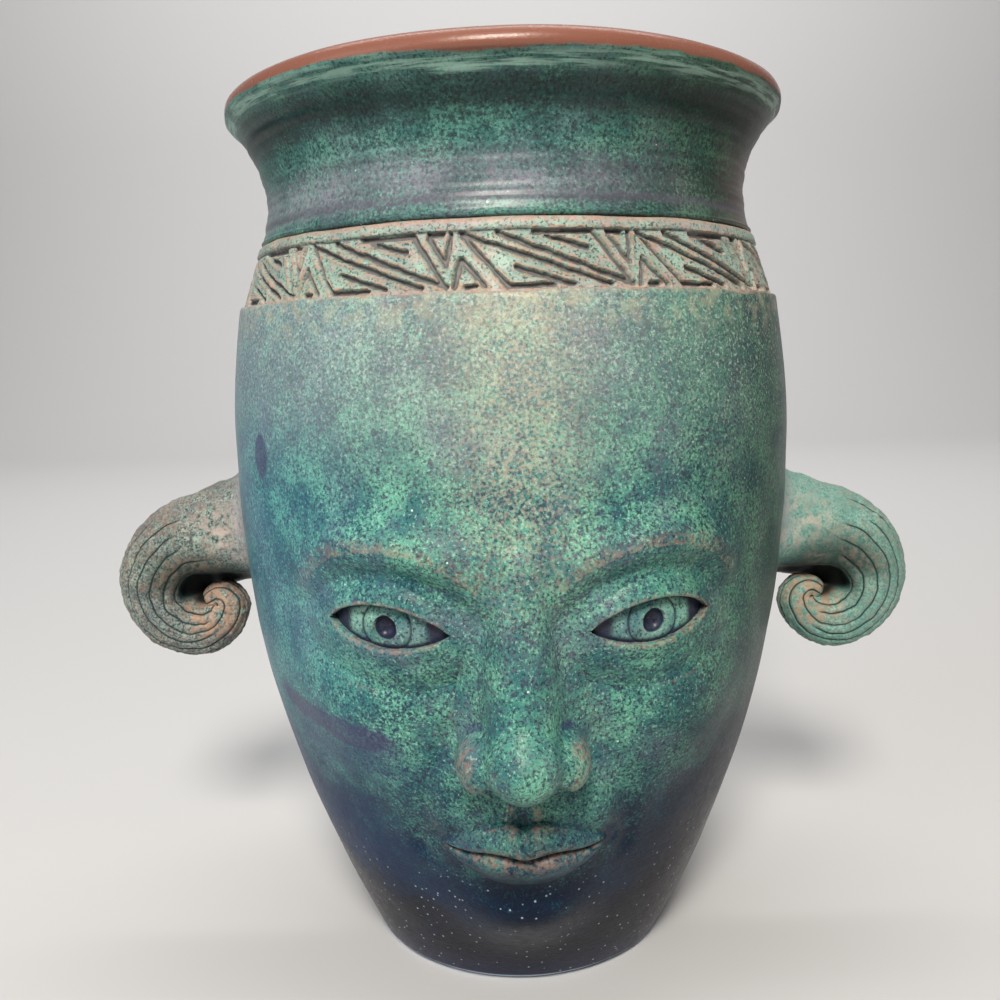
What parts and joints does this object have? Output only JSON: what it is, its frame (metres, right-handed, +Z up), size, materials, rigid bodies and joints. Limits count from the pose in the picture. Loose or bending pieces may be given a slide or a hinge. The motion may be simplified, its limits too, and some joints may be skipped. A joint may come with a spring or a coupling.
{
  "type": "face vase",
  "caption": "Hand-thrown stoneware vase with a calm modelled face, curled coil ears, a carved fret band and a wide flared collar.",
  "frame": {"origin": "centre of the flat foot, on the surface the vase stands on", "axes": "+Z up along the thrown axis; the face looks along -Y; +X is to the viewer's right when looking at the face"},
  "size_m": [0.2966, 0.2123, 0.29],
  "materials": {
    "teal_glaze": "satin mottled copper-green glaze with dark specks, bronze on raised edges and a copper-brown rim",
    "pooled_glaze": "glossier teal glaze that pools to purple-blue in its hollows"
  },
  "bodies": {
    "root": {"thrown_body": "teal_glaze", "carved_band": "teal_glaze", "flared_collar": "teal_glaze", "left_ear": "teal_glaze", "right_ear": "teal_glaze", "left_eyeball": "pooled_glaze", "right_eyeball": "pooled_glaze", "left_upper_lid": "teal_glaze", "left_lower_lid": "teal_glaze", "right_upper_lid": "teal_glaze", "right_lower_lid": "teal_glaze", "nose": "teal_glaze", "upper_lip": "teal_glaze", "lower_lip": "teal_glaze"}
  },
  "joints": []
}
